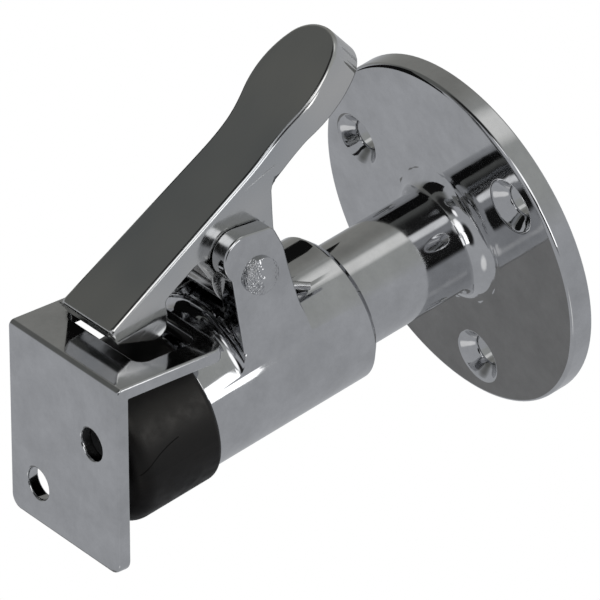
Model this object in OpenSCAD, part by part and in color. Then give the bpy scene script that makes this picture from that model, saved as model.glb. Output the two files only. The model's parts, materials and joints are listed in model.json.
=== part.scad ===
// Door stop with a lever catch and its keeper plate.
// The base is fixed to a wall and the keeper to a door. When the door meets the rubber
// buffer, the tooth of the lever drops through the window of the keeper and holds it.
// Millimetres. The wall is the plane y = 0, the stop points towards -Y, and +Z is up.

/* [Base plate and post] */

// Diameter of the round base plate
base_d = 60; // [45:0.5:75]
// Thickness of the base plate
base_t = 4; // [2.5:0.1:6]
// Bevel round the front rim of the base plate
base_bevel = 0.45; // [0.2:0.05:1]
// Diameter of the post
post_d = 17.8; // [12:0.1:22]
// Hollow radius where the post flares into the base plate
post_flare = 3.4; // [1:0.1:6]
// Diameter of the spigot of the post inside the barrel
spigot_d = 12; // [8:0.1:14]
// Length of the spigot inside the barrel
spigot_len = 12; // [6:0.1:14]

/* [Screw holes of the base] */

// Diameter of the circle that the three screws lie on
screw_circle = 45.4; // [36:0.1:52]
// Diameter of the clear hole for a screw
screw_d = 5; // [3.5:0.1:6]
// Diameter of the countersink at the front face
sink_d = 9.2; // [6:0.1:11]
// Angle of the first screw hole round the post
screw_turn = 38.5; // [0:0.5:119]

/* [Barrel] */

// Diameter of the barrel
barrel_d = 25; // [20:0.1:30]
// Distance from the wall to the rear end of the barrel
barrel_rear = 27.9; // [18:0.1:34]
// Length of the barrel
barrel_len = 33; // [30:0.1:40]
// Bevel at the rear end of the barrel
barrel_bevel = 1.6; // [0.4:0.1:3]
// Bevel at the front end of the barrel
barrel_front_bevel = 0.3; // [0.1:0.1:0.6]
// Extra depth of the sockets for the spigot and the stem
socket_room = 0.3; // [0.1:0.1:1]
// Radial gap round the spigot and the stem
fit = 0.05; // [0.02:0.01:0.15]

/* [Ears] */

// Thickness of one ear at the hinge pin
ear_t = 3.75; // [2.5:0.05:4.5]
// Gap between the hub of the lever and the inner face of each ear
ear_gap = 0.15; // [0.05:0.01:0.3]
// Draft angle of the outer face of an ear, which is thicker at its foot
ear_draft = 4; // [0:0.5:8]
// Distance from the hinge pin to the front edge of the ears
ear_lead = 5.05; // [4.5:0.05:6]
// How much further forward the front edge of the ears stands at the barrel axis
ear_lean = 1.1; // [0:0.1:3]
// Hollow radius between the front of the ears and the barrel
ear_flare = 1.7; // [0.8:0.1:2.5]
// Height of the floor between the ears above the barrel
floor_up = 1; // [0.4:0.1:1.6]
// Radius of the rounded head of an ear
ear_head_r = 4; // [3.6:0.05:4.6]
// Radius of the hollow rear edge of an ear
ear_rear_r = 89; // [60:1:160]

/* [Hinge pin] */

// Distance from the front end of the barrel to the hinge pin
pin_back = 14.15; // [13:0.05:16]
// Height of the hinge pin above the barrel
pin_up = 8.65; // [8:0.05:11]
// Diameter of the hinge pin
pin_d = 5; // [3:0.1:5.2]
// Diameter of the peened heads of the hinge pin
pin_head_d = 6.2; // [5.6:0.1:8]
// Height of a peened head above the ear
pin_head_h = 1.2; // [0.5:0.1:1.5]
// Radius of the crown of a peened head
pin_crown_r = 9; // [5:0.5:20]
// Radial gap of the pin in the ears
pin_ear_gap = 0.02; // [0.01:0.01:0.05]
// Radial gap of the lever on the pin
pin_lever_gap = 0.05; // [0.02:0.01:0.1]

/* [Lever] */

// Width of the lever at its nose
nose_w = 12.8; // [10:0.1:14]
// Width of the lever at its waist
waist_w = 11.4; // [9:0.1:12]
// Width of the thumb pad
pad_w = 14; // [13:0.1:16]
// Thickness of the lever in front of the pin
lever_t = 4.3; // [3:0.1:5]
// Thickness of the lever behind the pin
pad_t = 5.2; // [4:0.1:6]
// Extra thickness of the thumb pad at its tip
pad_swell = 1.1; // [0:0.1:1.5]
// Radius of the hub round the pin
hub_r = 6.4; // [5.8:0.1:7]
// Width of the hub between the ears
hub_w = 11.7; // [10:0.1:13]
// How far the nose overhangs the front edge of the keeper's window
nose_over = 2.4; // [1.5:0.1:3]
// Height of the nose above the top of the keeper
nose_up = 4; // [3.4:0.1:5]
// Radius of the two corners of the nose
nose_corner = 1; // [0.3:0.1:2]
// Distance from the nose to the back of the tooth
tooth_back = 10.9; // [9:0.1:13]
// Depth of the tooth below the nose
tooth_deep = 6.85; // [6:0.05:7.4]
// Radius of the rounded end of the tooth
tooth_round = 1.8; // [1:0.1:2.2]
// Hollow radius where the back of the tooth meets the lever
tooth_fillet = 1; // [0.5:0.1:1.5]
// Distance from the hinge pin back to the bend of the lever
bend_back = 2.55; // [1.5:0.05:5]
// Height of the bend of the lever above the hinge pin
bend_up = 14.7; // [13:0.1:16]
// Radius of the bend of the lever
bend_r = 48; // [30:1:80]
// Hollow radius of the top of the thumb pad
pad_r = 110; // [80:1:160]

/* [Return spring] */

// Thickness of the spring wire
wire_d = 1.3; // [0.8:0.1:1.6]
// Middle radius of the spring coil
coil_r = 3.6; // [3.3:0.05:4]
// Radial room round the coil in the hub
coil_room = 0.6; // [0.3:0.1:0.8]
// Gap between the coil and the ear beside it
coil_side_gap = 0.25; // [0.1:0.05:0.5]
// Gap between the end of the long leg and the barrel
leg_gap = 0.35; // [0.1:0.05:1]
// Bend radius of the hook at the inner end of the coil
hook_r = 1.2; // [1:0.1:1.6]
// Length of the hook past its bend
hook_len = 1.8; // [1:0.1:2.4]
// Radial gap of the hook in its hole in the lever
hook_gap = 0.15; // [0.1:0.05:0.3]

/* [Rubber buffer] */

// How far the rubber buffer stands out round the barrel
buffer_lip = 1.1; // [0.2:0.1:2]
// Length of the rubber buffer in front of the barrel
buffer_len = 16.4; // [12:0.1:22]
// Radius of the front edge of the rubber buffer
buffer_round = 3.2; // [1:0.1:5]
// Radius of the rear edge of the rubber buffer
buffer_rear_round = 1; // [0.3:0.1:1]
// Diameter of the moulded stem of the buffer
stem_d = 9; // [6:0.1:10]
// Length of the moulded stem of the buffer
stem_len = 7.5; // [5:0.1:8]

/* [Keeper] */

// How far the keeper plate stands out beside the rubber buffer
keeper_side = 0.1; // [0:0.1:2]
// Height of the front leaf of the keeper
keeper_h = 33.4; // [28:0.1:40]
// Thickness of the keeper plate
keeper_t = 2.3; // [1.5:0.1:2.6]
// Corner radius of the two leaves
keeper_round = 2.2; // [0.5:0.1:4]
// Outside radius of the fold
fold_round = 1; // [0.5:0.1:2]
// Room in the window on each side of the tooth
window_side = 2.9; // [1:0.1:3.5]
// Distance from the front face to the window
window_front = 7.7; // [6:0.1:10]
// Room in the window behind the tooth
window_play = 2.65; // [1:0.05:4]
// Width of the rim behind the window
window_rim = 2.2; // [1.5:0.1:4]
// Corner radius of the window
window_round = 2; // [0.5:0.1:3]
// Diameter of the two screw holes
keeper_hole_d = 5.4; // [4:0.1:6]
// Sideways and upright distance between the two screw holes
keeper_pitch = 13.8; // [11:0.1:16]
// Distance from the top of the keeper to the middle between the screw holes
keeper_hole_drop = 19.6; // [16:0.1:22]
// Lean of the keeper against the buffer
keeper_lean = 9.2; // [4:0.1:12]
// Gap between the keeper and the buffer
keeper_gap = 0.14; // [0.1:0.01:0.5]
// Gap between the rear rim of the keeper and the barrel
keeper_seat = 0.8; // [0.3:0.1:2]

/* [Hidden] */

round_n = 96;
small_n = 48;
large_n = 240;
// overrun of a cutting shape past the surface that it cuts
over = 1;

barrel_r = barrel_d / 2;
barrel_front = barrel_rear + barrel_len;
ear_in = hub_w / 2 + ear_gap;
ear_side = ear_in + ear_t;
pin_y = barrel_front - pin_back;
pin_z = barrel_r + pin_up;
ear_foot = pin_y + ear_lead + 0.7 * ear_lean;
spigot_bevel = spigot_d / 15;

buffer_d = barrel_d + 2 * buffer_lip;
buffer_front = barrel_front + buffer_len;

// the keeper leans on the round front edge of the buffer, its rear rim just above the barrel
window_w = nose_w + 2 * window_side;
window_len = (tooth_back - nose_over + window_play) / cos(keeper_lean);
keeper_w = buffer_d + 2 * keeper_side;
keeper_top = window_front + window_len + window_rim;
keeper_y = buffer_front - buffer_round
    + (buffer_round + keeper_t + keeper_gap + (buffer_d / 2 - buffer_round) * sin(keeper_lean))
        / cos(keeper_lean);
keeper_up = keeper_t + (barrel_r + keeper_seat + keeper_top * sin(keeper_lean)) / cos(keeper_lean);

// the top line of the lever climbs from the nose to the bend, then at pad_rise along the pad
nose_y = -keeper_y + window_front * cos(keeper_lean) + keeper_up * sin(keeper_lean) - nose_over;
nose_z = keeper_up + nose_up;
bend_y = -pin_y + bend_back;
bend_z = pin_z + bend_up;
nose_rise = atan2(bend_z - nose_z, bend_y - nose_y);
pad_rise = 36;
pad_turn = 12;
pad_steps = 8;
bend_cy = bend_y - bend_r * sin(nose_rise);
bend_cz = bend_z + bend_r * cos(nose_rise);
pad_y = bend_cy + bend_r * sin(pad_rise);
pad_z = bend_cz - bend_r * cos(pad_rise);
pad_cy = pad_y + pad_r * sin(pad_rise);
pad_cz = pad_z - pad_r * cos(pad_rise);

// slope of the ramp under the nose, and height and depth of the nose's blunt front
ramp_turn = 30.5;
nose_front = tooth_back / 9;
nose_drop = tooth_deep * 0.4;
// slope of the bevels beside the tooth, and their height below the top of the nose
tooth_bevel_turn = 17;
tooth_bevel_z = lever_t * 0.42;

// plan outline of the thumb pad, along the slope of the pad, built from tangent arcs
pad_slope = 33;
waist_back = 6.45;
neck_u = -5;
neck_r = 26.3;
side_u = 5.6;
side_r = 17.5;
side_v = pad_w / 2 - side_r;
tip_r = 5.92;
tip_u = 10.48;
neck_turn = 14;
tip_turn = 65.1;

coil_halves = 5;
coil_pitch = wire_d + 0.1;
coil_tilt = asin(coil_pitch / (4 * coil_r));
coil_x = ear_in - coil_side_gap - wire_d / 2;
coil_end_x = coil_x - coil_halves * coil_pitch / 2;
leg_slope = 30;
leg_len = (pin_z - coil_r * cos(coil_tilt) * cos(leg_slope) - sqrt(barrel_r * barrel_r - coil_x * coil_x)
    - wire_d / 2 / cos(leg_slope) - leg_gap) / sin(leg_slope);
pocket_r = coil_r + wire_d / 2 + coil_room;
pocket_in = coil_end_x - wire_d / 2 - coil_side_gap;

// turns an outline drawn as (distance from the axis, distance along Y) into a turned solid
module turned() {
    rotate([-90, 0, 0])
        rotate_extrude($fn = round_n)
            children();
}

// turns an outline drawn as (y, z) into a plate between two x values
module side_plate(x0, x1) {
    translate([x0, 0, 0])
        rotate([90, 0, 90])
            linear_extrude(height = x1 - x0)
                children();
}

// round rod along X
module rod_x(d, x0, x1, n) {
    translate([x0, 0, 0])
        rotate([0, 90, 0])
            cylinder(d = d, h = x1 - x0, $fn = n);
}

// round rod along Y
module rod_y(d, y0, y1, n) {
    translate([0, y0, 0])
        rotate([-90, 0, 0])
            cylinder(d = d, h = y1 - y0, $fn = n);
}

// points of an arc round c, from one angle to another in n steps
function arc(c, r, from, to, n) =
    [for (i = [0 : n]) c + r * [cos(from + (to - from) * i / n), sin(from + (to - from) * i / n)]];

// base plate, post and spigot, turned from one bar
module base_outline() {
    polygon([
        [0, 0],
        [base_d / 2, 0],
        [base_d / 2, -base_t + base_bevel],
        [base_d / 2 - base_bevel, -base_t],
        [post_d / 2 + post_flare, -base_t],
        [post_d / 2, -base_t - post_flare],
        [post_d / 2, -barrel_rear],
        [spigot_d / 2, -barrel_rear],
        [spigot_d / 2, -barrel_rear - spigot_len + spigot_bevel],
        [spigot_d / 2 - spigot_bevel, -barrel_rear - spigot_len],
        [0, -barrel_rear - spigot_len]
    ]);
    difference() {
        translate([post_d / 2 - over, -base_t - post_flare])
            square([post_flare + over, post_flare + over]);
        translate([post_d / 2 + post_flare, -base_t - post_flare])
            circle(r = post_flare, $fn = round_n);
    }
}

// clear hole for a countersunk screw, its countersink in the front face
module base_screw_hole() {
    rod_y(screw_d, -base_t - over, over, small_n);
    translate([0, -base_t, 0])
        rotate([-90, 0, 0])
            cylinder(d1 = sink_d, d2 = screw_d, h = (sink_d - screw_d) / 2, $fn = small_n);
}

// base plate with its three screw holes
module base() {
    color([0.75, 0.76, 0.78])
        difference() {
            turned()
                base_outline();
            for (k = [0 : 2])
                rotate([0, -screw_turn - 120 * k, 0])
                    translate([screw_circle / 2, 0, 0])
                        base_screw_hole();
        }
}

// side outline of an ear, measured from the pin: round head, leaning front, hollow rear edge
module ear_outline() {
    translate([-pin_y, pin_z])
        difference() {
            union() {
                translate(ear_head_r * [-0.512, 0.99])
                    circle(r = ear_head_r, $fn = round_n);
                polygon([
                    [-ear_lead - ear_lean, -pin_z],
                    [-ear_lead, ear_head_r * 0.66],
                    ear_head_r * [-0.745, 1.94],
                    ear_head_r * [-0.17, 1.94],
                    ear_head_r * [0.848, 1.715],
                    ear_head_r * [1.065, 1.525],
                    ear_head_r * [1.31, 0.703],
                    [ear_head_r * 2.33, -pin_z]
                ]);
            }
            translate([ear_rear_r + ear_head_r * 1.32, ear_head_r * 1.09])
                circle(r = ear_rear_r, $fn = large_n);
        }
}

// distance from the middle to the outer face of an ear, at a height above the barrel axis
function ear_reach(z) = ear_side + (pin_z - z) * tan(ear_draft);

// keeps what lies above the height z0 within the width of the ears there
module above(z0) {
    intersection() {
        children();
        translate([-ear_reach(z0), -barrel_front, z0])
            cube([2 * ear_reach(z0), barrel_front, pin_z]);
    }
}

// the ear on the right, with its drafted outer face
module ear() {
    top = pin_z + 3 * ear_head_r;
    intersection() {
        side_plate(ear_in, 2 * ear_side)
            intersection() {
                ear_outline();
                translate([-barrel_front, barrel_r / 3])
                    square([barrel_len, top]);
            }
        rotate([90, 0, 0])
            linear_extrude(height = barrel_front)
                polygon([[0, 0], [ear_reach(0), 0], [ear_reach(top), top], [0, top]]);
    }
}

// the two ears, the floor between them and the hollow curve in front of them
module ear_block() {
    for (s = [0 : 1])
        mirror([s, 0, 0])
            ear();
    side_plate(-ear_side, ear_side)
        intersection() {
            ear_outline();
            translate([-barrel_front, 0])
                square([pin_back, barrel_r + floor_up]);
        }
    above(barrel_r / 2)
        turned()
            difference() {
                translate([barrel_r - over, -ear_foot - ear_flare])
                    square([ear_flare + over, ear_flare + over / 2]);
                translate([barrel_r + ear_flare, -ear_foot - ear_flare])
                    circle(r = ear_flare, $fn = small_n);
            }
}

// cast barrel with the two ears; a socket behind takes the post, one in front the buffer
module barrel() {
    color([0.78, 0.79, 0.81])
        difference() {
            union() {
                turned()
                    polygon([
                        [0, -barrel_rear],
                        [barrel_r - barrel_bevel, -barrel_rear],
                        [barrel_r, -barrel_rear - barrel_bevel],
                        [barrel_r, -barrel_front + barrel_front_bevel],
                        [barrel_r - barrel_front_bevel, -barrel_front],
                        [0, -barrel_front]
                    ]);
                ear_block();
            }
            rod_y(spigot_d + 2 * fit, -barrel_rear - spigot_len - socket_room, -barrel_rear + over, small_n);
            rod_y(stem_d + 2 * fit, -barrel_front - over, -barrel_front + stem_len + socket_room, small_n);
            translate([0, -pin_y, pin_z])
                rod_x(pin_d + 2 * pin_ear_gap, -ear_reach(0), ear_reach(0), small_n);
        }
}

// what a round edge of radius r takes off a square corner; s is 1 for a rear edge, -1 for a front one
module edge_cut(r, s) {
    difference() {
        translate([-r, s > 0 ? -r : -over])
            square([r + over, r + over]);
        translate([-r, -s * r])
            circle(r = r, $fn = round_n);
    }
}

// moulded rubber buffer with a stem that is pushed into the barrel
module buffer() {
    color([0.08, 0.08, 0.08])
        turned() {
            difference() {
                translate([0, -buffer_front])
                    square([buffer_d / 2, buffer_len]);
                translate([buffer_d / 2, -buffer_front])
                    edge_cut(buffer_round, -1);
                translate([buffer_d / 2, -barrel_front])
                    edge_cut(buffer_rear_round, 1);
            }
            translate([0, -barrel_front - over])
                square([stem_d / 2, stem_len + over]);
        }
}

// low peened head of the pin
module pin_head() {
    intersection() {
        cylinder(d = pin_head_d, h = pin_crown_r, $fn = small_n);
        translate([0, 0, pin_head_h - pin_crown_r])
            sphere(r = pin_crown_r, $fn = round_n);
    }
}

// rivet through the ears, with a head square on the drafted face of each
module hinge_pin() {
    color([0.7, 0.71, 0.73])
        translate([0, -pin_y, pin_z]) {
            rod_x(pin_d, -ear_side - pin_head_h / 4, ear_side + pin_head_h / 4, small_n);
            for (s = [-1, 1])
                translate([s * ear_side, 0, 0])
                    rotate([0, s * (90 - ear_draft), 0])
                        pin_head();
        }
}

// underside of the thumb pad, which grows thicker towards its tip
function pad_under() =
    [for (i = [pad_steps : -1 : 0])
        let (turn = pad_rise + 90 - pad_turn * i / pad_steps)
            [pad_cy, pad_cz] + (pad_r - pad_t - pad_swell * i / 5) * [cos(turn), sin(turn)]];

// point under the top line of the lever, by its distance from the nose and its depth
function under(along, deep) =
    [along * cos(nose_rise) + deep * sin(nose_rise), along * sin(nose_rise) - deep * cos(nose_rise)];

// tooth, measured from the nose: hollow root, straight back, round end and blunt nose
function tooth_line() = concat(
    [under(tooth_back * 1.55, lever_t)],
    arc([tooth_back + tooth_fillet,
         (tooth_back + tooth_fillet) * tan(nose_rise) - (lever_t + tooth_fillet) / cos(nose_rise)],
        tooth_fillet, nose_rise + 90, 180, 4),
    arc([tooth_back - tooth_round, -tooth_deep + tooth_round], tooth_round, 0, ramp_turn - 150, 8),
    [[nose_front, -nose_drop]]
);

// side outline of the lever: nose, bar, bend, thumb pad, then back along the underside to the tooth
module lever_side() {
    polygon(concat(
        [[nose_y, nose_z]],
        arc([bend_cy, bend_cz], bend_r, nose_rise - 90, pad_rise - 90, 6),
        arc([pad_cy, pad_cz], pad_r, pad_rise + 90, pad_rise + 90 - pad_turn, pad_steps),
        pad_under(),
        arc([bend_cy, bend_cz], bend_r + pad_t, pad_rise - 90, nose_rise - 90, 6),
        [for (p = tooth_line()) [nose_y, nose_z] + p]
    ));
}

// hub round the pin and the web that joins it to the bar, measured from the pin
module hub_outline() {
    translate([-pin_y, pin_z]) {
        circle(r = hub_r, $fn = round_n);
        polygon(hub_r * [
            [-1.478, 1.105],
            [-1.07, 0.183],
            [0, 0],
            [0.992, 0.047],
            [0.991, 0.605],
            [1.038, 1.073],
            [1.1, 1.605],
            [1.334, 2.23],
            [0.35, 2.01]
        ]);
        difference() {
            polygon(hub_r * [
                [1.061, 1.48],
                [0.975, 1.933],
                [1.253, 1.933],
                [1.253, 1.809],
                [1.42, 1.491]
            ]);
            translate(hub_r * [1.42, 1.491])
                circle(r = hub_r * 0.36, $fn = small_n);
        }
    }
}

// plan outline of the bar, tapering from the nose to the waist
module bar_plan() {
    waist_y = -pin_y + waist_back;
    polygon(concat(
        [[-waist_w / 2, pad_y], [-waist_w / 2, waist_y]],
        arc([-nose_w / 2 + nose_corner, nose_y + nose_corner], nose_corner, 180, 270, 6),
        arc([nose_w / 2 - nose_corner, nose_y + nose_corner], nose_corner, 270, 360, 6),
        [[waist_w / 2, waist_y], [waist_w / 2, pad_y]]
    ));
}

// outline of the hollow neck and the egg-shaped thumb pad, seen square to the pad
function pad_edge() = concat(
    [[neck_u - 0.5, waist_w / 2]],
    arc([neck_u, waist_w / 2 + neck_r], neck_r, -90, neck_turn - 90, 6),
    arc([side_u, side_v], side_r, neck_turn + 90, tip_turn, 16),
    arc([tip_u, 0], tip_r, tip_turn, 0, 16)
);

// both halves of the pad outline
module pad_plan() {
    edge = pad_edge();
    polygon(concat(edge, [for (i = [len(edge) - 1 : -1 : 0]) [edge[i][0], -edge[i][1]]]));
}

// bevels on both sides of the tooth
module tooth_bevels() {
    for (s = [0 : 1])
        mirror([s, 0, 0])
            translate([nose_w / 2, nose_y - over, nose_z - tooth_bevel_z])
                rotate([0, tooth_bevel_turn, 0])
                    translate([0, 0, -tooth_deep - over])
                        cube([nose_w / 2, tooth_back + 3 * over, tooth_deep + over]);
}

// bar and thumb pad, cut from the side outline by their plan outlines, and the hub
module lever_blank() {
    intersection() {
        side_plate(-pad_w, pad_w)
            lever_side();
        linear_extrude(height = 3 * pin_z)
            bar_plan();
    }
    intersection() {
        side_plate(-pad_w, pad_w)
            lever_side();
        translate([0, pad_y, pad_z])
            rotate([0, 0, 90])
                rotate([0, -pad_slope, 0])
                    linear_extrude(height = 5 * pad_t, center = true)
                        pad_plan();
    }
    side_plate(-hub_w / 2, hub_w / 2)
        hub_outline();
}

// slot in the hub that leaves the long leg of the spring free as the lever turns
module leg_slot() {
    side_plate(coil_x - wire_d / 2 - coil_side_gap, pad_w)
        polygon(1.3 * hub_r * [
            [0, 0],
            [cos(95), -sin(95)],
            [cos(60), -sin(60)],
            [cos(28), -sin(28)]
        ]);
}

// cast lever with tooth, hub and thumb pad; a pocket in the hub takes the coil, a hole its hook
module lever() {
    color([0.6, 0.61, 0.62])
        difference() {
            lever_blank();
            tooth_bevels();
            translate([0, -pin_y, pin_z]) {
                rod_x(pin_d + 2 * pin_lever_gap, -pad_w, pad_w, small_n);
                rod_x(2 * pocket_r, pocket_in, pad_w, round_n);
                leg_slot();
                at_hook()
                    rod_x(wire_d + 2 * hook_gap, -hook_len - hook_gap, hook_r / 2, 24);
            }
        }
}

// half a turn of the spring wire, tilted so that its two ends are half a pitch apart
module coil_half(k) {
    translate([coil_x - k * coil_pitch / 2 - coil_pitch / 4, 0, 0])
        rotate([-leg_slope, 0, 0])
            rotate([0, 0, k % 2 == 0 ? -coil_tilt : coil_tilt])
                rotate([0, 90, 0])
                    rotate([0, 0, k % 2 == 0 ? 180 : 0])
                        wire_bend(coil_r, 180);
}

// piece of wire bent round the Z axis
module wire_bend(r, turn) {
    rotate_extrude(angle = turn, $fn = small_n)
        translate([r, 0])
            circle(d = wire_d, $fn = 24);
}

// puts something at the end of the hook's bend, with -X along the hook
module at_hook() {
    translate([coil_end_x + coil_pitch / 4, 0, 0])
        rotate([-leg_slope, 0, 0])
            rotate([0, 0, -coil_tilt])
                translate([-hook_r, hook_r, coil_r])
                    children();
}

// wire spring: the long leg rests on the barrel, the hook at the other end sits in the lever
module spring() {
    color([0.5, 0.5, 0.5])
        translate([0, -pin_y, pin_z]) {
            for (k = [0 : coil_halves - 1])
                coil_half(k);
            rotate([-leg_slope, 0, 0])
                translate([coil_x, 0, -coil_r * cos(coil_tilt)])
                    rod_y(wire_d, 0, leg_len, 24);
            at_hook() {
                translate([0, -hook_r, 0])
                    wire_bend(hook_r, 90);
                rod_x(wire_d, -hook_len, 0, 24);
            }
        }
}

// one leaf of the keeper, with two round corners at its far end
module leaf(w, l, r) {
    translate([-w / 2, 0])
        square([w, l - r]);
    translate([-w / 2 + r, 0])
        square([w - 2 * r, l]);
    for (s = [-1, 1])
        translate([s * (w / 2 - r), l - r])
            circle(r = r, $fn = small_n);
}

// window in the top leaf, with round corners
module window_outline() {
    translate([-window_w / 2 + window_round, window_front])
        square([window_w - 2 * window_round, window_len]);
    translate([-window_w / 2, window_front + window_round])
        square([window_w, window_len - 2 * window_round]);
    for (s = [-1, 1])
        for (y = [window_front + window_round, window_front + window_len - window_round])
            translate([s * (window_w / 2 - window_round), y])
                circle(r = window_round, $fn = small_n);
}

// what the round outside of the fold takes off the square corner
module fold_cut() {
    difference() {
        translate([-keeper_w / 2 - over, -over, keeper_up - fold_round])
            cube([keeper_w + 2 * over, fold_round + over, fold_round + over]);
        translate([0, fold_round, keeper_up - fold_round])
            rod_x(2 * fold_round, -keeper_w, keeper_w, round_n);
    }
}

// folded keeper plate with a window for the tooth and two screw holes
module keeper() {
    color([0.72, 0.73, 0.75])
        translate([0, -keeper_y, 0])
            rotate([-keeper_lean, 0, 0])
                difference() {
                    union() {
                        translate([0, keeper_t, keeper_up])
                            rotate([-90, 0, 0])
                                mirror([0, 0, 1])
                                    linear_extrude(height = keeper_t)
                                        leaf(keeper_w, keeper_h, keeper_round);
                        translate([0, 0, keeper_up - keeper_t])
                            linear_extrude(height = keeper_t)
                                leaf(keeper_w, keeper_top, keeper_round);
                    }
                    translate([0, 0, keeper_up - keeper_t - over])
                        linear_extrude(height = keeper_t + 2 * over)
                            window_outline();
                    for (s = [-1, 1])
                        translate([0, 0, keeper_up - keeper_hole_drop])
                            translate([s * keeper_pitch / 2, 0, s * keeper_pitch / 2])
                                rod_y(keeper_hole_d, -over, keeper_t + over, small_n);
                    fold_cut();
                }
}

base();
barrel();
buffer();
hinge_pin();
spring();
lever();
keeper();
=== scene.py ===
import json
import math

import bmesh
import bpy
from mathutils import Matrix, Vector


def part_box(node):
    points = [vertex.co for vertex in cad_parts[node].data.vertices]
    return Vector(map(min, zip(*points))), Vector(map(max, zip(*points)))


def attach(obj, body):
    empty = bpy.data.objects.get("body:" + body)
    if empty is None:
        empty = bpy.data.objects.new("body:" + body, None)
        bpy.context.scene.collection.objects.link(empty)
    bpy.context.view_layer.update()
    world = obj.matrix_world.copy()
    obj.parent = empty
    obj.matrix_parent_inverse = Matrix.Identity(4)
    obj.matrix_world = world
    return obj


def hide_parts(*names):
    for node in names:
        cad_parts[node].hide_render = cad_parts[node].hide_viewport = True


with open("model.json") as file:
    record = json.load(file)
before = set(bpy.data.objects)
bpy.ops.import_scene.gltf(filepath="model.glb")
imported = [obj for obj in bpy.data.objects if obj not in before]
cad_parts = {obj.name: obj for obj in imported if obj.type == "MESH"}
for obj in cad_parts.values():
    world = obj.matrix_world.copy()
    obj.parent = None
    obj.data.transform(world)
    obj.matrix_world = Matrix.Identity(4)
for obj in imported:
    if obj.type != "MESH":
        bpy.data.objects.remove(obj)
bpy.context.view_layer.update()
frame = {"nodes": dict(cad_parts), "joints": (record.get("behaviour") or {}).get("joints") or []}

MM = 0.001
nodes = frame["nodes"]


# Camera
# A long lens looks down on the stop from the front right, so that the far base plate stays
# almost as large as the near keeper. Angles, aim and distance were fitted to the photo.
CAMERA_AZIMUTH = math.radians(56.088)
CAMERA_ELEVATION = math.radians(36.333)
CAMERA_ROLL = math.radians(-8.934)
CAMERA_AIM = Vector((0.38, -33.95, 4.34)) * MM
CAMERA_DISTANCE = 1243.5 * MM
CAMERA_FOCAL_PIXELS = 7979.2
IMAGE_PIXELS = 600
SENSOR_MM = 36.0


def camera_axes(azimuth, elevation, roll):
    """Right, up and backward directions of a camera that looks at the stop."""
    back = Vector((
        math.sin(azimuth) * math.cos(elevation),
        -math.cos(azimuth) * math.cos(elevation),
        math.sin(elevation),
    ))
    level_right = Vector((math.cos(azimuth), math.sin(azimuth), 0.0))
    level_up = back.cross(level_right)
    right = math.cos(roll) * level_right + math.sin(roll) * level_up
    up = math.cos(roll) * level_up - math.sin(roll) * level_right
    return right, up, back


right, up, back = camera_axes(CAMERA_AZIMUTH, CAMERA_ELEVATION, CAMERA_ROLL)
camera = bpy.data.objects.new("camera", bpy.data.cameras.new("camera"))
camera.data.sensor_width = SENSOR_MM
camera.data.lens = CAMERA_FOCAL_PIXELS / IMAGE_PIXELS * SENSOR_MM
camera.data.clip_start = 0.05
camera.data.clip_end = 20.0
camera.matrix_world = Matrix.Translation(CAMERA_AIM + CAMERA_DISTANCE * back) @ Matrix((
    (right.x, up.x, back.x, 0.0),
    (right.y, up.y, back.y, 0.0),
    (right.z, up.z, back.z, 0.0),
    (0.0, 0.0, 0.0, 1.0),
))
bpy.context.scene.collection.objects.link(camera)
bpy.context.scene.camera = camera
bpy.context.scene.view_settings.view_transform = "Standard"


# Studio
# Polished plating shows nothing but what stands round it. The stop stands in a grey tent
# with lighter and darker patches, given by direction, and four cards are set round it.
TENT_GREY = (0.46, 0.47, 0.49)
PATCHES = [
    # towards, degrees of full colour, degrees to the edge, colour
    ((0.67, 0.45, -0.59), 22, 50, (0.45, 0.46, 0.48)),
    ((-0.67, 0.50, 0.50), 30, 62, (0.28, 0.28, 0.265)),
    ((0.40, 0.45, 0.80), 18, 50, (0.42, 0.43, 0.42)),
    ((0.08, 0.45, 0.89), 4, 15, (0.90, 0.90, 0.88)),
    ((-0.60, -0.20, 0.75), 24, 44, (0.135, 0.138, 0.132)),
    ((-0.05, -0.25, 0.96), 14, 30, (0.02, 0.02, 0.02)),
    ((0.29, -0.47, 0.84), 3, 9, (1.6, 1.6, 1.6)),
    ((0.82, -0.47, 0.33), 15, 26, (0.015, 0.015, 0.015)),
    ((0.72, -0.12, 0.68), 10, 20, (1.8, 1.8, 1.8)),
    ((0.43, -0.65, -0.63), 6, 15, (0.95, 0.95, 0.95)),
]


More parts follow.
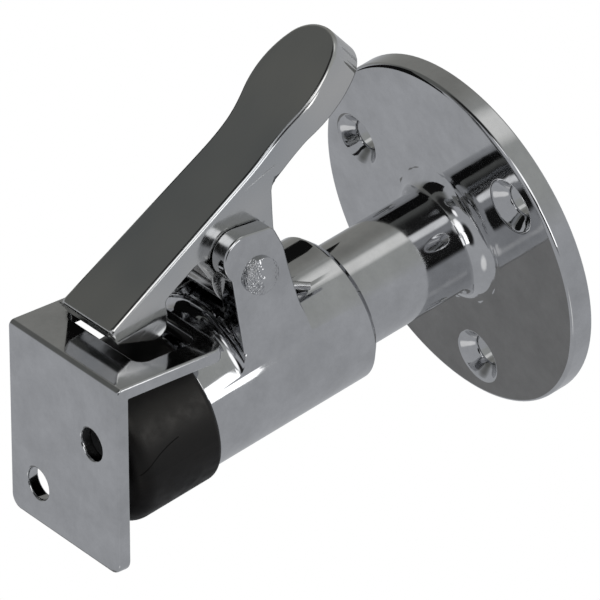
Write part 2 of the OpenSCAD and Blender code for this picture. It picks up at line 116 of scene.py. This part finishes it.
def studio_world():
    """World that shows white to the camera and the tent with its patches to the object."""
    world = bpy.data.worlds.new("studio")
    world.use_nodes = True
    tree = world.node_tree
    tree.nodes.clear()
    direction = tree.nodes.new("ShaderNodeTexCoord").outputs["Generated"]
    colour = None
    for towards, inner, outer, patch in PATCHES:
        dot = tree.nodes.new("ShaderNodeVectorMath")
        dot.operation = "DOT_PRODUCT"
        tree.links.new(direction, dot.inputs[0])
        dot.inputs[1].default_value = Vector(towards).normalized()
        mask = tree.nodes.new("ShaderNodeMapRange")
        mask.interpolation_type = "SMOOTHSTEP"
        mask.inputs["From Min"].default_value = math.cos(math.radians(outer))
        mask.inputs["From Max"].default_value = math.cos(math.radians(inner))
        tree.links.new(dot.outputs["Value"], mask.inputs["Value"])
        mix = tree.nodes.new("ShaderNodeMix")
        mix.data_type = "RGBA"
        tree.links.new(mask.outputs["Result"], mix.inputs["Factor"])
        if colour is None:
            mix.inputs[6].default_value = (*TENT_GREY, 1.0)
        else:
            tree.links.new(colour, mix.inputs[6])
        mix.inputs[7].default_value = (*patch, 1.0)
        colour = mix.outputs[2]
    tent = tree.nodes.new("ShaderNodeBackground")
    tree.links.new(colour, tent.inputs["Color"])
    white = tree.nodes.new("ShaderNodeBackground")
    white.inputs["Color"].default_value = (1.0, 1.0, 1.0, 1.0)
    rays = tree.nodes.new("ShaderNodeLightPath")
    choose = tree.nodes.new("ShaderNodeMixShader")
    tree.links.new(rays.outputs["Is Camera Ray"], choose.inputs["Fac"])
    tree.links.new(tent.outputs["Background"], choose.inputs[1])
    tree.links.new(white.outputs["Background"], choose.inputs[2])
    output = tree.nodes.new("ShaderNodeOutputWorld")
    tree.links.new(choose.outputs["Shader"], output.inputs["Surface"])
    return world


bpy.context.scene.world = studio_world()


def card(name, centre, facing, upward, width, height, tone):
    """Card of one even tone beside the stop, which the plating mirrors and the camera ignores."""
    front = Vector(facing).normalized()
    side = Vector(upward).cross(front).normalized()
    upright = front.cross(side)
    turn = Matrix((side, upright, front)).transposed().to_4x4()
    size = Matrix.Diagonal((width * MM, height * MM, 1.0, 1.0))
    work = bmesh.new()
    bmesh.ops.create_grid(
        work, x_segments=1, y_segments=1, size=0.5,
        matrix=Matrix.Translation(Vector(centre) * MM) @ turn @ size,
    )
    mesh = bpy.data.meshes.new(name)
    work.to_mesh(mesh)
    work.free()
    paper = bpy.data.materials.new(name)
    paper.use_nodes = True
    tree = paper.node_tree
    tree.nodes.clear()
    glow = tree.nodes.new("ShaderNodeEmission")
    glow.inputs["Color"].default_value = (tone, tone, tone, 1.0)
    clear = tree.nodes.new("ShaderNodeBsdfTransparent")
    rays = tree.nodes.new("ShaderNodeLightPath")
    choose = tree.nodes.new("ShaderNodeMixShader")
    tree.links.new(rays.outputs["Is Camera Ray"], choose.inputs["Fac"])
    tree.links.new(glow.outputs["Emission"], choose.inputs[1])
    tree.links.new(clear.outputs["BSDF"], choose.inputs[2])
    output = tree.nodes.new("ShaderNodeOutputMaterial")
    tree.links.new(choose.outputs["Shader"], output.inputs["Surface"])
    mesh.materials.append(paper)
    piece = bpy.data.objects.new(name, mesh)
    bpy.context.scene.collection.objects.link(piece)


# The soft box shines on the front of the barrel. The flag and the shade, both on the left,
# darken the space under the lever. The shade is a dark card that stands close beside the
# lever, so the dark space under it in the plating is painted shade. The grey card lies far
# below, and its upper edge runs across the base plate beside the mirror image of the post.
card("soft_box", (102, -26, 36), (-0.83, -0.44, -0.30), (0, 0, 1), 36, 44, 2.2)
card("black_flag", (-30, -30, 33), (1, 0, 0), (0, 0, 1), 44, 28, 0.008)
card("shade_under_lever", (-10, -57, 19.5), (1, 0, 0), (0, 0, 1), 25, 15, 0.004)
card("grey_card", (-205, -184, -307), (0.67, 0.45, 0.59), (-0.655, 0, 0.756), 220, 184, 0.21)


# Base plate and post
# Turned and drilled brass, polished and chrome plated. Three countersunk wood screws hold
# it to the wall, and its spigot is pressed into the barrel.
CHROME = (0.56, 0.565, 0.575)
STAIN_RANGE = (0.88, 1.08)
FLAT_ANGLE = math.radians(0.5)
CORNER_ANGLE = math.radians(30.0)
SMOOTH_ANGLE = math.radians(35.0)


def noise(tree, vector, scale, detail=2.0, roughness=0.5):
    """Noise texture read at the given coordinates, features 1/scale metres wide."""
    texture = tree.nodes.new("ShaderNodeTexNoise")
    texture.inputs["Scale"].default_value = scale
    texture.inputs["Detail"].default_value = detail
    texture.inputs["Roughness"].default_value = roughness
    tree.links.new(vector, texture.inputs["Vector"])
    return texture.outputs["Fac"]


def stretched(tree, vector, scale):
    """Coordinates stretched by the three scales."""
    mapping = tree.nodes.new("ShaderNodeMapping")
    mapping.inputs["Scale"].default_value = scale
    tree.links.new(vector, mapping.inputs["Vector"])
    return mapping.outputs["Vector"]


def between(tree, value, low, high, start=0.3, end=0.7):
    """Spreads a value that runs from start to end, as noise does, over low to high."""
    spread = tree.nodes.new("ShaderNodeMapRange")
    spread.inputs["From Min"].default_value = start
    spread.inputs["From Max"].default_value = end
    spread.inputs["To Min"].default_value = low
    spread.inputs["To Max"].default_value = high
    tree.links.new(value, spread.inputs["Value"])
    return spread.outputs["Result"]


def plating(name, tone, haze, wave, edge):
    """Chrome plate: tone dims it, haze gives its roughness range, wave the waviness of the
    polish in micrometres and edge the radius in mm that polishing left on its corners."""
    material = bpy.data.materials.new(name)
    material.use_nodes = True
    tree = material.node_tree
    shader = tree.nodes["Principled BSDF"]
    shader.inputs["Metallic"].default_value = 1.0
    place = tree.nodes.new("ShaderNodeTexCoord").outputs["Object"]
    tint = tree.nodes.new("ShaderNodeMix")
    tint.data_type = "RGBA"
    tint.inputs[6].default_value = (*[part * tone * STAIN_RANGE[0] for part in CHROME], 1.0)
    tint.inputs[7].default_value = (*[part * tone * STAIN_RANGE[1] for part in CHROME], 1.0)
    stains = noise(tree, place, 170.0, 6.0, 0.72)
    tree.links.new(between(tree, stains, 0.0, 1.0), tint.inputs["Factor"])
    tree.links.new(tint.outputs[2], shader.inputs["Base Color"])
    smudges = noise(tree, place, 220.0, 4.0, 0.6)
    tree.links.new(between(tree, smudges, haze[0], haze[1]), shader.inputs["Roughness"])
    rounding = tree.nodes.new("ShaderNodeBevel")
    rounding.samples = 8
    rounding.inputs["Radius"].default_value = edge * MM
    swell = tree.nodes.new("ShaderNodeBump")
    swell.inputs["Strength"].default_value = 1.0
    swell.inputs["Distance"].default_value = wave * MM / 1000
    tree.links.new(noise(tree, place, 160.0, 1.0), swell.inputs["Height"])
    tree.links.new(rounding.outputs["Normal"], swell.inputs["Normal"])
    tree.links.new(swell.outputs["Normal"], shader.inputs["Normal"])
    return material


def dress(node, material):
    """Gives a CAD node its finish."""
    mesh = nodes[node].data
    for index in range(max(1, len(mesh.materials))):
        if index < len(mesh.materials):
            mesh.materials[index] = material
        else:
            mesh.materials.append(material)


def add_piece(name, work, material, body):
    """Turns a bmesh into a smooth piece that rides on a body."""
    bmesh.ops.recalc_face_normals(work, faces=work.faces)
    mesh = bpy.data.meshes.new(name)
    work.to_mesh(mesh)
    work.free()
    mesh.polygons.foreach_set("use_smooth", [True] * len(mesh.polygons))
    mesh.materials.append(material)
    piece = bpy.data.objects.new(name, mesh)
    bpy.context.scene.collection.objects.link(piece)
    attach(piece, body)
    return piece


def polished(node, body, material, radius, chosen=lambda edge: True, sliver=0.02,
             shape=None):
    """Copy of a CAD node that stands for it, its corners rounded by the polishing wheel.

    The radius and the length of the slivers to close are in mm; chosen says of each edge
    whether it is rounded, and shape may bend the mesh first.
    """
    work = bmesh.new()
    work.from_mesh(nodes[node].data)
    bmesh.ops.remove_doubles(work, verts=work.verts, dist=sliver * MM)
    bmesh.ops.dissolve_limit(work, angle_limit=FLAT_ANGLE, verts=work.verts, edges=work.edges)
    if shape:
        shape(work)
    corners = [
        edge for edge in work.edges
        if edge.is_manifold
        and edge.calc_face_angle() > CORNER_ANGLE
        and chosen(edge)
    ]
    bmesh.ops.bevel(
        work, geom=corners, offset=radius * MM, offset_type="OFFSET", segments=3, profile=0.5,
        affect="EDGES", clamp_overlap=False, material=-1,
    )
    bmesh.ops.triangulate(work, faces=[face for face in work.faces if len(face.verts) > 4])
    piece = add_piece(node + "_polished", work, material, body)
    piece.data.set_sharp_from_angle(angle=SMOOTH_ANGLE)
    flats = piece.modifiers.new("flat_faces_stay_flat", "WEIGHTED_NORMAL")
    flats.weight = 100
    flats.keep_sharp = True
    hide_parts(node)
    return piece


PLATE_FRONT = -4.0 * MM
POST_RADIUS = 8.9 * MM
FLARE_RADIUS = 3.4 * MM
FLARE_STEPS = 14
CONE_TILT = (0.5, 0.9)


def hollow_flare(work):
    """Puts a hollow quarter round in place of the cone at the foot of the post."""
    cone = [
        face for face in work.faces
        if CONE_TILT[0] < abs(face.normal.y) < CONE_TILT[1]
        and face.calc_center_median().y > PLATE_FRONT - FLARE_RADIUS
        and math.hypot(*face.calc_center_median().xz) < POST_RADIUS + FLARE_RADIUS
    ]
    bmesh.ops.delete(work, geom=cone, context="FACES")
    rims = [edge for edge in work.edges if edge.is_boundary]
    bridge = bmesh.ops.bridge_loops(work, edges=rims)
    new = bmesh.ops.subdivide_edges(
        work, edges=bridge["edges"], cuts=FLARE_STEPS, use_grid_fill=True
    )
    for vert in (part for part in new["geom_inner"] if isinstance(part, bmesh.types.BMVert)):
        radius = math.hypot(vert.co.x, vert.co.z)
        turn = (radius - POST_RADIUS) / FLARE_RADIUS * math.pi / 2
        wanted = POST_RADIUS + FLARE_RADIUS * (1 - math.cos(turn))
        vert.co.x *= wanted / radius
        vert.co.z *= wanted / radius
        vert.co.y = PLATE_FRONT - FLARE_RADIUS * (1 - math.sin(turn))


polished(
    "base", "stop",
    plating("base_plating", 1.0, (0.04, 0.1), 25.0, 0.1), 0.3, shape=hollow_flare,
)


# Barrel
# One brass casting with the two ears that carry the lever. It is turned and ground,
# polished on a wheel and chrome plated, and drilled through the ears for the rivet.
BARREL_RADIUS = 12.5 * MM
EAR_FOOT = 0.96 * BARREL_RADIUS
REAR_END = -29.0 * MM


def clear_of_barrel(edge):
    """True for the corners of the ears and the rear end, not for what runs into the barrel."""
    middle = (edge.verts[0].co + edge.verts[1].co) / 2
    return middle.z > EAR_FOOT or middle.y > REAR_END


polished(
    "barrel", "stop",
    plating("barrel_plating", 1.0, (0.03, 0.1), 20.0, 0.2), 0.4, clear_of_barrel, 0.05,
)


# Rubber buffer
# Black rubber moulded in one piece, its stem pushed into the front bore of the barrel.
# The mould left a short curved mark on its right side. The skin has a brownish sheen,
# which is painted weaker below and at the front as painted shade, and weaker in the mark
# as the painted shade of its crease.
RUBBER_BLACK = (0.0022, 0.0022, 0.0026, 1.0)
RUBBER_BROWN = (0.007, 0.006, 0.0055, 1.0)
SHEEN_TINT = (1.0, 0.97, 0.92, 1.0)
# The sheen fades into painted shade, from full above and behind to weakest below and at the
# front.
PAINTED_SHADE_BELOW = -6.0 * MM
FULL_SHEEN_ABOVE = 5.0 * MM
PAINTED_SHADE_FRONT = -80.0 * MM
FULL_SHEEN_BEHIND = -73.0 * MM
MARK_CENTRE = Vector((0.0, -66.9, -11.2)) * MM
MARK_RADIUS = 15.4 * MM
MARK_HALF_WIDTH = 0.1 * MM
MARK_REAR_END = -68.4 * MM
MARK_LOW_END = 1.0 * MM


def axes(tree, vector):
    """The X, Y and Z parts of a vector."""
    parts = tree.nodes.new("ShaderNodeSeparateXYZ")
    tree.links.new(vector, parts.inputs["Vector"])
    return parts.outputs


def product(tree, first, second):
    """The product of two values."""
    multiply = tree.nodes.new("ShaderNodeMath")
    multiply.operation = "MULTIPLY"
    tree.links.new(first, multiply.inputs[0])
    tree.links.new(second, multiply.inputs[1])
    return multiply.outputs["Value"]


def passes(tree, value, comparison, limit, slack=0.0):
    """1 where the value passes the comparison with the limit, 0 elsewhere."""
    gauge = tree.nodes.new("ShaderNodeMath")
    gauge.operation = comparison
    tree.links.new(value, gauge.inputs[0])
    gauge.inputs[1].default_value = limit
    gauge.inputs[2].default_value = slack
    return gauge.outputs["Value"]


def mould_mark(tree, place):
    """1 along the arc of the mark as seen from the side, 0 elsewhere."""
    side_view = tree.nodes.new("ShaderNodeVectorMath")
    side_view.operation = "MULTIPLY"
    side_view.inputs[1].default_value = (0.0, 1.0, 1.0)
    tree.links.new(place, side_view.inputs[0])
    reach = tree.nodes.new("ShaderNodeVectorMath")
    reach.operation = "DISTANCE"
    reach.inputs[1].default_value = MARK_CENTRE
    tree.links.new(side_view.outputs["Vector"], reach.inputs[0])
    across = axes(tree, place)
    mark = passes(tree, reach.outputs["Value"], "COMPARE", MARK_RADIUS, MARK_HALF_WIDTH)
    mark = product(tree, mark, passes(tree, across["X"], "GREATER_THAN", 0.0))
    mark = product(tree, mark, passes(tree, across["Z"], "GREATER_THAN", MARK_LOW_END))
    return product(tree, mark, passes(tree, across["Y"], "LESS_THAN", MARK_REAR_END))


def moulded_rubber():
    """Black rubber with fine grain, its sheen weakened below, at the front and in the mark, as
    painted shade.
    """
    material = bpy.data.materials.new("moulded_rubber")
    material.use_nodes = True
    tree = material.node_tree
    shader = tree.nodes["Principled BSDF"]
    shader.inputs["Specular Tint"].default_value = SHEEN_TINT
    place = tree.nodes.new("ShaderNodeTexCoord").outputs["Object"]
    across = axes(tree, place)
    # Painted shade: the sheen is weakened below and at the front, and along the mould mark as in
    # its crease.
    sheen_with_painted_shade = between(tree, across["Z"], 0.07, 0.4, PAINTED_SHADE_BELOW, FULL_SHEEN_ABOVE)
    sheen_with_painted_shade = product(tree, sheen_with_painted_shade, between(tree, across["Y"], 0.25, 1.0, PAINTED_SHADE_FRONT, FULL_SHEEN_BEHIND))
    sheen_with_painted_shade = product(tree, sheen_with_painted_shade, between(tree, mould_mark(tree, place), 1.0, 0.3, 0.0, 1.0))
    tree.links.new(sheen_with_painted_shade, shader.inputs["Specular IOR Level"])
    shade = tree.nodes.new("ShaderNodeMix")
    shade.data_type = "RGBA"
    shade.inputs[6].default_value = RUBBER_BLACK
    shade.inputs[7].default_value = RUBBER_BROWN
    dust = between(tree, noise(tree, place, 160.0, 4.0), 0.0, 1.0)
    tree.links.new(dust, shade.inputs["Factor"])
    tree.links.new(shade.outputs[2], shader.inputs["Base Color"])
    skin = between(tree, noise(tree, place, 500.0, 3.0), 0.34, 0.5)
    tree.links.new(skin, shader.inputs["Roughness"])
    grain = tree.nodes.new("ShaderNodeBump")
    grain.inputs["Strength"].default_value = 0.35
    grain.inputs["Distance"].default_value = 0.03 * MM
    tree.links.new(noise(tree, place, 2600.0, 3.0), grain.inputs["Height"])
    tree.links.new(grain.outputs["Normal"], shader.inputs["Normal"])
    return material


dress("buffer", moulded_rubber())


# Hinge pin
# Steel rivet through both ears and the lever. Its ends are hammered over the ears, the
# blows falling on the front half of each head, and plated.
HINGE = Vector(frame["joints"][0]["pos_m"])
HAMMER_MARK = 0.42 * MM
HAMMER_DEPTH = 0.45 * MM
HAMMERED_TO = HINGE.y - 1.45 * MM
SMOOTH_FROM = HINGE.y - 0.15 * MM


def hammered_steel():
    """Bright steel with the dents of a riveting hammer, which fade towards the wall."""
    material = plating("hammered_steel", 0.97, (0.03, 0.08), 30.0, 0.1)
    tree = material.node_tree
    shader = tree.nodes["Principled BSDF"]
    place = tree.nodes["Texture Coordinate"].outputs["Object"]
    dents = tree.nodes.new("ShaderNodeTexVoronoi")
    dents.feature = "SMOOTH_F1"
    dents.inputs["Scale"].default_value = 1.0 / HAMMER_MARK
    dents.inputs["Smoothness"].default_value = 0.4
    tree.links.new(place, dents.inputs["Vector"])
    worked = between(tree, axes(tree, place)["Y"], 1.0, 0.12, HAMMERED_TO, SMOOTH_FROM)
    relief = tree.nodes.new("ShaderNodeBump")
    relief.inputs["Strength"].default_value = 1.0
    relief.inputs["Distance"].default_value = HAMMER_DEPTH
    tree.links.new(product(tree, dents.outputs["Distance"], worked), relief.inputs["Height"])
    tree.links.new(shader.inputs["Normal"].links[0].from_socket, relief.inputs["Normal"])
    tree.links.new(relief.outputs["Normal"], shader.inputs["Normal"])
    return material


dress("hinge_pin", hammered_steel())


# Spring
# Torsion spring of bare drawn steel wire, wound round the rivet inside the lever's hub.
# Its leg runs down to the floor between the ears, where its end is bent outwards.
WIRE_DIAMETER = 1.3 * MM
LEG_SIDE = 5.1 * MM
LEG_SLOPE = math.radians(30.0)
WIRE_SMOOTH_ANGLE = math.radians(50.0)
wire_steel = plating("spring_wire", 0.85, (0.2, 0.35), 10.0, 0.05)


def bent_wire(name, points, diameter, material, body):
    """Wire bent through a few points, its ends cut square."""
    curve = bpy.data.curves.new(name, "CURVE")
    curve.dimensions = "3D"
    curve.bevel_depth = diameter / 2
    curve.bevel_resolution = 8
    curve.use_fill_caps = True
    spline = curve.splines.new("BEZIER")
    spline.bezier_points.add(len(points) - 1)
    for knot, point in zip(spline.bezier_points, points):
        knot.co = point
        knot.handle_left_type = knot.handle_right_type = "AUTO"
    draft = bpy.data.objects.new(name, curve)
    work = bmesh.new()
    work.from_mesh(bpy.data.meshes.new_from_object(draft))
    bpy.data.objects.remove(draft)
    piece = add_piece(name, work, material, body)
    piece.data.set_sharp_from_angle(angle=WIRE_SMOOTH_ANGLE)
    return piece


dress("spring", wire_steel)
leg_low, leg_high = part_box("spring")
leg_foot = Vector((
    LEG_SIDE,
    leg_high.y - WIRE_DIAMETER / 2 * math.sin(LEG_SLOPE),
    leg_low.z + WIRE_DIAMETER / 2 * math.cos(LEG_SLOPE),
))
leg_way = Vector((0.0, math.cos(LEG_SLOPE), -math.sin(LEG_SLOPE)))
bent_wire(
    "spring_leg_end",
    [
        leg_foot - 2.0 * MM * leg_way,
        leg_foot - 0.8 * MM * leg_way,
        leg_foot + Vector((0.5, 0.9, -0.35)) * MM,
        leg_foot + Vector((1.8, 2.9, -1.0)) * MM,
    ],
    WIRE_DIAMETER * 1.01, wire_steel, "stop",
)


# Lever
# Thumb lever cast in brass in one piece with its hub and its catching tooth. Its broad
# top is brushed fine along its length before plating, and it turns on the rivet.
HUB_ROOM = 8.5 * MM
BAR_SLOPE = math.radians(34.0)
BRUSHED_COOL = (0.50, 0.515, 0.53, 1.0)
BRUSHED_WARM = (0.64, 0.635, 0.62, 1.0)


def on_top(edge):
    """True for the corners round the top of the bar and the pad, not for the hub."""
    middle = (edge.verts[0].co + edge.verts[1].co) / 2
    sloping = any(face.normal.z > 0.5 and face.normal.y < -0.3 for face in edge.link_faces)
    return sloping and math.hypot(middle.y - HINGE.y, middle.z - HINGE.z) > HUB_ROOM


def lever_plating():
    """Plating over a top that was brushed along its length, warm and cool in broad clouds."""
    material = plating("lever_plating", 1.0, (0.1, 0.2), 15.0, 0.3)
    tree = material.node_tree
    shader = tree.nodes["Principled BSDF"]
    place = tree.nodes["Texture Coordinate"].outputs["Object"]
    along = tree.nodes.new("ShaderNodeMapping")
    along.vector_type = "TEXTURE"
    along.inputs["Rotation"].default_value = (BAR_SLOPE, 0.0, 0.0)
    along.inputs["Scale"].default_value = (1.0, 14.0, 1.0)
    tree.links.new(place, along.inputs["Vector"])
    broad = stretched(tree, place, (1.0, 0.6, 1.0))
    clouds = between(tree, noise(tree, broad, 75.0, 1.5), 0.0, 1.0)
    tint = tree.nodes.new("ShaderNodeMix")
    tint.data_type = "RGBA"
    tint.inputs[6].default_value = BRUSHED_COOL
    tint.inputs[7].default_value = BRUSHED_WARM
    tree.links.new(clouds, tint.inputs["Factor"])
    tree.links.new(tint.outputs[2], shader.inputs["Base Color"])
    streaks = noise(tree, along.outputs["Vector"], 1500.0, 3.0, 0.6)
    tree.links.new(between(tree, streaks, 0.08, 0.24), shader.inputs["Roughness"])
    scratches = tree.nodes.new("ShaderNodeBump")
    scratches.inputs["Strength"].default_value = 0.5
    scratches.inputs["Distance"].default_value = 0.004 * MM
    tree.links.new(streaks, scratches.inputs["Height"])
    tree.links.new(shader.inputs["Normal"].links[0].from_socket, scratches.inputs["Normal"])
    tree.links.new(scratches.outputs["Normal"], shader.inputs["Normal"])
    return material


polished("lever", "lever", lever_plating(), 0.7, on_top, 0.1)


# Keeper
# Sheet steel folded to an angle, punched for the tooth and for two screws, then polished
# and plated. It is screwed to the door, and here it leans on the rubber buffer.
polished(
    "keeper", "stop",
    plating("keeper_plating", 1.0, (0.05, 0.12), 20.0, 0.3), 0.4,
)
